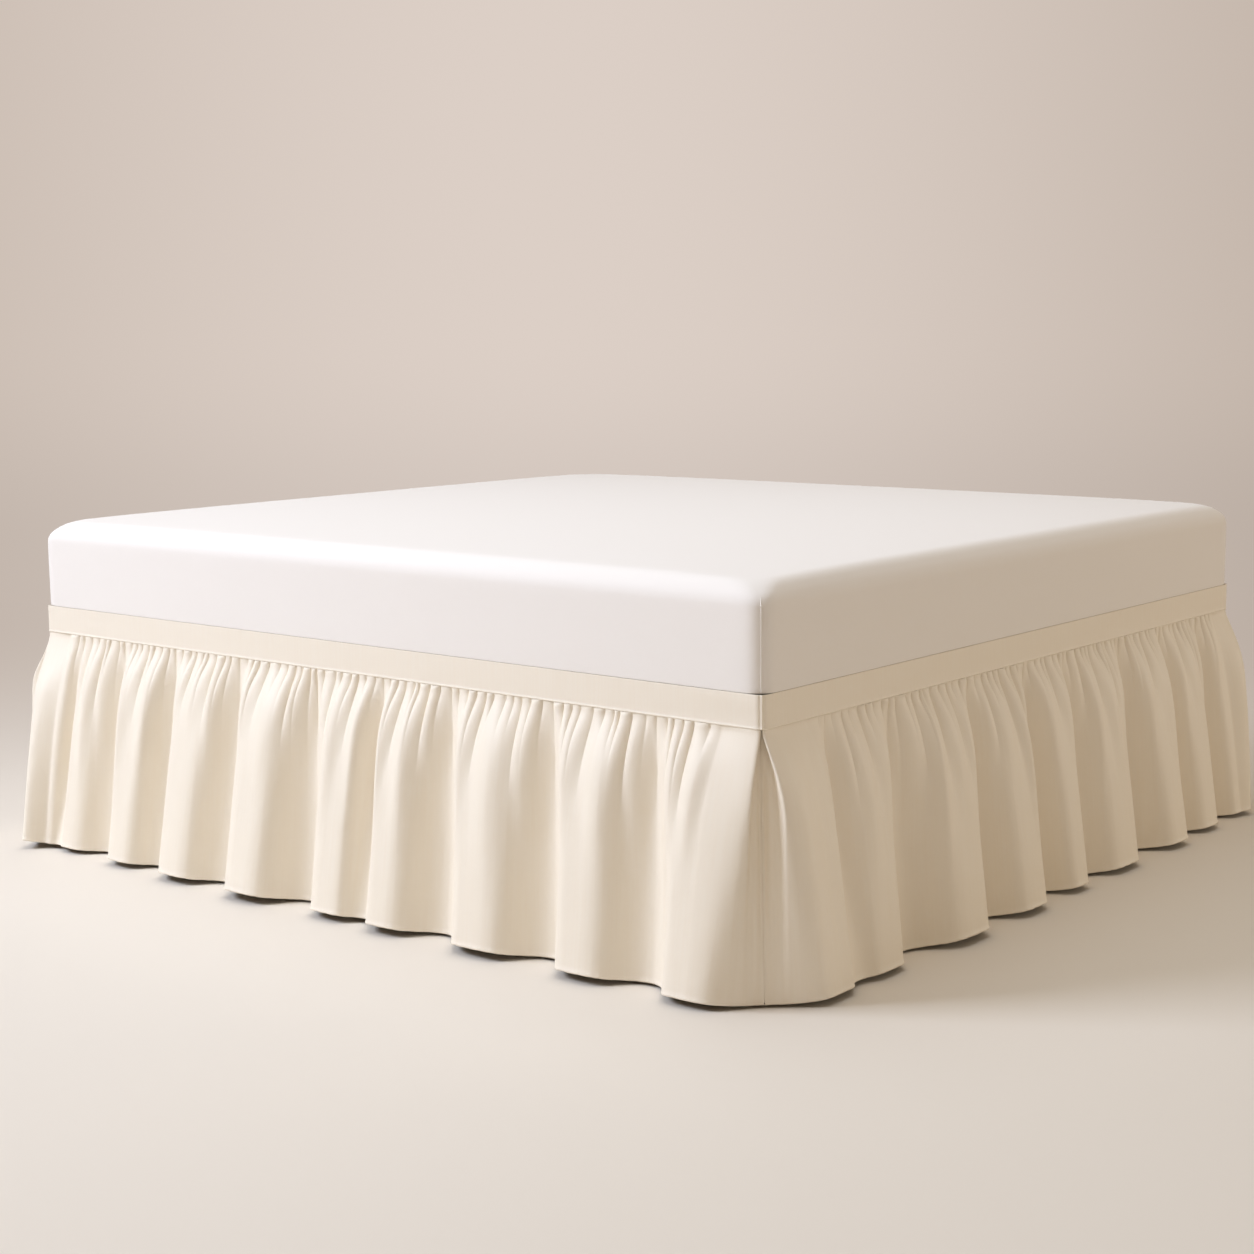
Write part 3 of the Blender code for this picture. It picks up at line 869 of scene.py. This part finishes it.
half_x = MATTRESS_HIGH.x + SIDE_FULLNESS
half_y = MATTRESS_HIGH.y + SIDE_FULLNESS
mattress_low = MATTRESS_LOW.z
mattress_top = MATTRESS_HIGH.z - CROWN
bpy.ops.mesh.primitive_cube_add(size=1.0, location=(0, 0, (mattress_low + mattress_top) / 2))
mattress = bpy.context.active_object
mattress.name = "mattress_cover"
mattress.scale = (2 * half_x, 2 * half_y, mattress_top - mattress_low)
bpy.ops.object.transform_apply(location=True, rotation=True, scale=True)
bpy.ops.object.mode_set(mode="EDIT")
for axis, half in ((0, half_x), (1, half_y)):
    flat = half - CORNER_ZONE
    cuts = list(np.linspace(-flat, flat, round(2 * flat / CUT_STEP))[1:-1])
    cuts += [side * (half - cut * MM) for cut in EDGE_CUTS for side in (-1, 1)]
    for cut in cuts:
        place, normal = [0.0, 0.0, 0.0], [0.0, 0.0, 0.0]
        place[axis], normal[axis] = float(cut), 1.0
        bpy.ops.mesh.select_all(action="SELECT")
        bpy.ops.mesh.bisect(plane_co=place, plane_no=normal)
side_cuts = [mattress_low + LOW_ROUND * share for share in (0.25, 0.5, 1.0)]
side_cuts += list(np.linspace(mattress_low + 3 * LOW_ROUND, mattress_top - TOP_ROUND, 6))
side_cuts += list(np.linspace(mattress_top - TOP_ROUND, mattress_top, 7)[1:-1])
for cut in side_cuts:
    bpy.ops.mesh.select_all(action="SELECT")
    bpy.ops.mesh.bisect(plane_co=(0.0, 0.0, float(cut)), plane_no=(0.0, 0.0, 1.0))
bpy.ops.object.mode_set(mode="OBJECT")
print("block of", len(mattress.data.polygons), "faces")


# %% Round the block and give it its crown
def top_turn(inset, z):
    """Return the angle round the top edge's roll, from the side up to the flat top."""
    up_side = np.clip((z - mattress_top + TOP_ROUND) / TOP_ROUND, 0, 1)
    over_top = np.where(z > mattress_top - MM / 2, np.clip(inset / TOP_ROUND, 0, 1), 0)
    return math.radians(45) * (up_side + over_top)


def ring_shape(inset, z):
    """Return the turn, how far a ring of points is drawn in, and the ring's corner radius."""
    turn = top_turn(inset, z)
    drawn = TOP_ROUND * (1 - np.cos(turn))
    radius = UPRIGHT_ROUND + (ROUND_ON_TOP - UPRIGHT_ROUND) * np.sin(turn) ** 2
    inner = (turn > math.radians(89.9)) & (inset > TOP_ROUND)
    drawn = np.where(inner, inset, drawn)
    radius = np.where(inner, np.maximum(ROUND_ON_TOP - inset + TOP_ROUND, 0), radius)
    tuck = LOW_ROUND - np.sqrt(LOW_ROUND**2 - np.clip(mattress_low + LOW_ROUND - z, 0, LOW_ROUND) ** 2)
    under = LOW_ROUND + inset * (1 - LOW_ROUND / CORNER_ZONE)
    under = np.where(inset > CORNER_ZONE, inset, under)
    drawn = np.where(z < mattress_low + MM / 10, under, drawn + tuck)
    return turn, drawn, radius


def round_block(points):
    """Move the points of the sharp block to the mattress's rounded form."""
    x, y, z = points.T
    inset = np.minimum(half_x - abs(x), half_y - abs(y))
    turn, drawn, radius = ring_shape(inset, z)
    beyond = []
    for value, half in ((x, half_x), (y, half_y)):
        zone = half - CORNER_ZONE
        squeeze = (CORNER_ZONE - drawn) / np.maximum(CORNER_ZONE - inset, MM)
        near = np.where(abs(value) > zone, zone + (abs(value) - zone) * squeeze, abs(value))
        near = np.where(inset < CORNER_ZONE, near, abs(value))
        core = half - drawn - radius
        beyond.append((near, core, np.maximum(near - core, 0)))
    (near_x, core_x, past_x), (near_y, core_y, past_y) = beyond
    longest = np.maximum(past_x, past_y)
    turned = (past_x > 0) & (past_y > 0)
    factor = np.where(turned, longest / np.maximum(np.hypot(past_x, past_y), 1e-9), 1.0)
    new_x = np.where(turned, core_x + past_x * factor, near_x)
    new_y = np.where(turned, core_y + past_y * factor, near_y)
    new_z = np.where(turn > 0, mattress_top - TOP_ROUND + TOP_ROUND * np.sin(turn), z)
    x_share, y_share = np.clip(abs(x) / half_x, 0, 1), np.clip(abs(y) / half_y, 0, 1)
    lift = np.sin(turn) ** 2
    crown = CROWN * np.sqrt((1 - x_share**4) * (1 - y_share**4))
    new_z = new_z + lift * (crown - CORNER_DROP * (x_share * y_share) ** CORNER_FOCUS)
    rise = np.clip((z - mattress_low) / (mattress_top - mattress_low), 0, 1)
    tucked = SIDE_TUCK * (1 - 4 * rise * (1 - rise))
    new_x = new_x - tucked * x_share**8
    new_y = new_y - tucked * y_share**8
    return np.column_stack([np.copysign(new_x, x), np.copysign(new_y, y), new_z])


block = np.empty(3 * len(mattress.data.vertices))
mattress.data.vertices.foreach_get("co", block)
mattress.data.vertices.foreach_set("co", round_block(block.reshape(-1, 3)).ravel())
mattress.data.update()
apply_modifier(mattress, "SUBSURF", levels=1, render_levels=1)
mattress.data.shade_smooth()
print("mattress of", len(mattress.data.polygons), "faces, top at",
      round(max(v.co.z for v in mattress.data.vertices), 4))

# %% [markdown]
# ## The cover's corner seams
#
# The knit cover's side border is joined at each corner with an upright seam. It shows as a thin
# welt from the lower edge up over the start of the round top edge. It is a thin curve with a
# round bevel, which is then made a mesh. The welt follows the same rounding as the block.

# %% Make the corner seams
WELT_RADIUS = 1.4 * MM
WELT_SUNK = 0.5 * MM
WELT_POINTS = 26
WELT_TOP = math.radians(38)
WELT_FADE = 35 * MM


def make_welt(side_x, side_y):
    """Make the upright welt on one corner of the mattress."""
    curve = bpy.data.curves.new("welt", "CURVE")
    curve.dimensions = "3D"
    curve.bevel_depth = WELT_RADIUS
    curve.bevel_resolution = 3
    curve.use_fill_caps = True
    spline = curve.splines.new("POLY")
    spline.points.add(WELT_POINTS - 1)
    end = mattress_top - TOP_ROUND + TOP_ROUND * WELT_TOP / math.radians(45)
    for point, z in zip(spline.points, np.linspace(mattress_low + LOW_ROUND, end, WELT_POINTS)):
        corner = np.array([[side_x * half_x, side_y * half_y, z]])
        x, y, new_z = round_block(corner)[0]
        sunk = WELT_SUNK * math.sqrt(0.5)
        point.co = (x - side_x * sunk, y - side_y * sunk, new_z, 1.0)
        point.radius = 1.0 - 0.9 * float(smooth(end - WELT_FADE, end, z))
    return bpy.data.objects.new("welt", curve)


welts = [make_welt(x, y) for x in (-1, 1) for y in (-1, 1)]
bpy.ops.object.select_all(action="DESELECT")
for welt in welts:
    bpy.context.scene.collection.objects.link(welt)
    welt.select_set(True)
bpy.context.view_layer.objects.active = welts[0]
bpy.ops.object.convert(target="MESH")
bpy.ops.object.join()
corner_welts = bpy.context.active_object
corner_welts.name = "mattress_corner_welts"
corner_welts.data.shade_smooth()
print(corner_welts.name, len(corner_welts.data.polygons), "faces")

# %% [markdown]
# ## The knit cover's finish
#
# The cover is a fine polyester jersey knit. It is matt and almost white, and its rows of
# stitches are 1 mm apart in life. They are drawn 2.5 mm apart, so that they show close up. The
# padding under it is a little uneven over a hand's width.

# %% Knit cover material
COVER_WHITE = "#F5F1EC"
KNIT_PITCH = 2.5 * MM
UNEVEN_SIZE = 200 * MM


def knit_cover():
    """Polyester jersey: knitted, matt, with fine rows of loops."""
    material, tree, shader = new_material("polyester_jersey_white", {
        "Base Color": linear(COVER_WHITE), "Roughness": 0.62, "Specular IOR Level": 0.2,
        "Sheen Weight": 0.04, "Sheen Roughness": 0.5})
    place = add_node(tree, "TexCoord")
    scale = add_node(tree, "Mapping", None, {"Scale": (1 / KNIT_PITCH,) * 3},
                     {"Vector": (place, "Object")})
    loops = add_node(tree, "TexVoronoi", {"feature": "SMOOTH_F1"},
                     {"Scale": 1.0, "Smoothness": 0.6}, {"Vector": (scale, 0)})
    soft = add_node(tree, "TexNoise", None, {"Scale": 1 / UNEVEN_SIZE, "Detail": 2.0},
                    {"Vector": (place, "Object")})
    broad = add_node(tree, "Bump", None, {"Strength": 0.5, "Distance": 3 * MM}, {"Height": (soft, 0)})
    fine = add_node(tree, "Bump", None, {"Strength": 0.15, "Distance": 0.2 * MM},
                    {"Height": (loops, "Distance"), "Normal": (broad, 0)})
    tree.links.new(fine.outputs[0], shader.inputs["Normal"])
    return material


JERSEY = knit_cover()
for piece in (mattress, corner_welts):
    piece.data.materials.clear()
    piece.data.materials.append(JERSEY)
    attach(piece, "root")
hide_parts("mattress")
print(JERSEY.name)

# %% [markdown]
# ## The bed base
#
# The base is a firm upholstered box. Its upright corners are rounded, so that the skirt's pleats
# have room, and its other edges are slightly soft under the fabric. The underside carries a
# dust cloth that is stapled on a little way in from the edge, so it is inset and sunk. Below the
# band the sides are drawn in a few millimetres, which gives the ruffle's valleys room.

# %% Model the bed base
BASE_CORNER = 60 * MM
BASE_EDGE = 5 * MM
DUST_CLOTH_INSET = 30 * MM
DUST_CLOTH_SUNK = 2 * MM
BASE_DRAWN_IN = 5 * MM
SOFT_ANGLE = math.radians(35)

bpy.ops.mesh.primitive_cube_add(size=1.0, location=(BASE_LOW + BASE_HIGH) / 2)
base = bpy.context.active_object
base.name = "base_cover"
base.scale = BASE_HIGH - BASE_LOW
bpy.ops.object.transform_apply(location=True, rotation=True, scale=True)
select_edges(base, lambda a, b: abs(a.z - b.z) > MM)
bpy.ops.mesh.bevel(offset=BASE_CORNER, segments=10, affect="EDGES")
bpy.ops.object.mode_set(mode="OBJECT")
select_edges(base, lambda a, b: abs(a.z - b.z) < MM)
bpy.ops.mesh.bevel(offset=BASE_EDGE, segments=3, affect="EDGES")
bpy.ops.mesh.select_mode(type="FACE")
bpy.ops.mesh.select_all(action="DESELECT")
bpy.ops.object.mode_set(mode="OBJECT")
for face in base.data.polygons:
    face.select = face.normal.z < -0.99
bpy.ops.object.mode_set(mode="EDIT")
bpy.ops.mesh.inset(thickness=DUST_CLOTH_INSET, depth=0.0)
bpy.ops.mesh.inset(thickness=DUST_CLOTH_SUNK, depth=-DUST_CLOTH_SUNK)
for height in (SEAM_Z - MM / 2, SEAM_Z + BASE_DRAWN_IN):
    bpy.ops.mesh.select_all(action="SELECT")
    bpy.ops.mesh.bisect(plane_co=(0.0, 0.0, height), plane_no=(0.0, 0.0, 1.0))
bpy.ops.object.mode_set(mode="OBJECT")
for point in base.data.vertices:
    if point.co.z < SEAM_Z:
        point.co.x *= 1 - BASE_DRAWN_IN / BASE_HIGH.x
        point.co.y *= 1 - BASE_DRAWN_IN / BASE_HIGH.y
take(base)
bpy.ops.object.shade_smooth_by_angle(angle=SOFT_ANGLE)
print("base of", len(base.data.polygons), "faces")

# %% [markdown]
# ## Ticking and beech
#
# Ticking is a plain, dense cotton weave in a greyish beige. The legs stand out of sight, but they
# are real beech: pale pinkish wood with fine straight grain and short dark flecks, and an oiled
# finish with a low gloss.

# %% Ticking and beech materials
TICKING = "#B9AF9F"
TICKING_THREAD = 2.0 * MM
BEECH_LIGHT = "#D3AE82"
BEECH_DARK = "#B98B5C"
GRAIN_WIDTH = 4 * MM
GRAIN_LENGTH = GRAIN_WIDTH / 0.03


def ticking():
    """Cotton ticking: a dense plain weave, matt and slightly rough."""
    material, tree, shader = new_material("cotton_ticking", {
        "Base Color": linear(TICKING), "Roughness": 0.85})
    place = add_node(tree, "TexCoord")
    scale = add_node(tree, "Mapping", None, {"Scale": (1 / TICKING_THREAD,) * 3},
                     {"Vector": (place, "Object")})
    weave = add_node(tree, "TexChecker", None, {"Scale": 1.0}, {"Vector": (scale, 0)})
    relief = add_node(tree, "Bump", None, {"Strength": 0.3, "Distance": 0.2 * MM},
                      {"Height": (weave, "Fac")})
    tree.links.new(relief.outputs[0], shader.inputs["Normal"])
    return material


def beech():
    """Beech: straight fine grain with short flecks, planed and oiled."""
    material, tree, shader = new_material("oiled_beech", {"Roughness": 0.42})
    place = add_node(tree, "TexCoord")
    scale = add_node(tree, "Mapping", None,
                     {"Scale": (1 / GRAIN_WIDTH, 1 / GRAIN_WIDTH, 1 / GRAIN_LENGTH)},
                     {"Vector": (place, "Object")})
    grain = add_node(tree, "TexNoise", None, {"Scale": 1.0, "Detail": 5.0, "Distortion": 0.4},
                     {"Vector": (scale, 0)})
    colour = add_node(tree, "Mix", {"data_type": "RGBA"},
                      {6: linear(BEECH_DARK), 7: linear(BEECH_LIGHT)}, {0: (grain, 0)})
    tree.links.new(colour.outputs[2], shader.inputs["Base Color"])
    relief = add_node(tree, "Bump", None, {"Strength": 0.2, "Distance": 0.2 * MM},
                      {"Height": (grain, 0)})
    tree.links.new(relief.outputs[0], shader.inputs["Normal"])
    return material


base.data.materials.clear()
base.data.materials.append(ticking())
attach(base, "root")
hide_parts("bed_base")
OILED_BEECH = beech()
for name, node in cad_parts.items():
    if name.startswith("leg_"):
        node.data.materials.clear()
        node.data.materials.append(OILED_BEECH)
        print(name, "is", OILED_BEECH.name)
